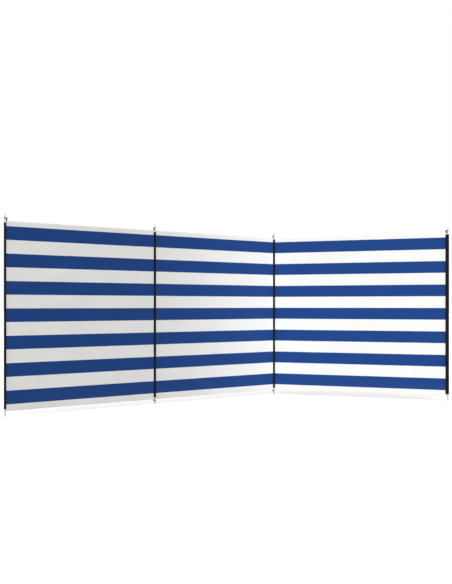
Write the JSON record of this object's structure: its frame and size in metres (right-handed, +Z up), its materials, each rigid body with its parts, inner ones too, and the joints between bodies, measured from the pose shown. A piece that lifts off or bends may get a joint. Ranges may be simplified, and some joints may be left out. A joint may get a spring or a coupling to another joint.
{
  "type": "beach windbreak",
  "caption": "Free-standing striped cloth screen in bays, held in black sleeves on pointed steel poles that push into the ground, with end bays that fold round at the poles.",
  "frame": {"origin": "centre of the flat end of the corner pole's foot, at ground level", "axes": "+Z up along the poles; the straight run of two bays lies along -X from the corner pole; the turned bay comes forward from it along -Y"},
  "size_m": [3.6018, 1.8118, 1.5],
  "materials": {
    "cloth": "woven polyester with broad blue and white stripes",
    "tape": "black polyester tape, sewn round each pole as a sleeve",
    "steel": "bright zinc-plated steel tube",
    "nylon": "light grey moulded nylon",
    "elastic": "black braided elastic cord"
  },
  "bodies": {
    "middle_bay": {"middle_cloth": "cloth", "pole_2": "steel", "pole_3": "steel", "pocket_2": "tape", "pocket_3": "tape", "pole_top_2": "nylon", "pole_top_3": "nylon", "pole_foot_2": "nylon", "pole_foot_3": "nylon", "top_loop_3": "elastic", "bottom_loop_3": "elastic"},
    "left_bay": {"left_cloth": "cloth", "pole_1": "steel", "pocket_1": "tape", "left_seam": "tape", "pole_top_1": "nylon", "pole_foot_1": "nylon", "top_loop_1": "elastic", "top_loop_2": "elastic", "bottom_loop_2": "elastic"},
    "right_bay": {"right_cloth": "cloth", "pole_4": "steel", "pocket_4": "tape", "right_seam": "tape", "pole_top_4": "nylon", "pole_foot_4": "nylon", "top_loop_4": "elastic"}
  },
  "joints": [
    {"name": "left_bay_swing", "type": "hinge", "parent": "middle_bay", "child": "left_bay", "pos_m": [-1.79, 0, 0.744], "axis": [0, 0, 1], "range_deg": [-90, 90]},
    {"name": "right_bay_swing", "type": "hinge", "parent": "middle_bay", "child": "right_bay", "pos_m": [0, 0, 0.744], "axis": [0, 0, -1], "range_deg": [-180, 0]}
  ]
}
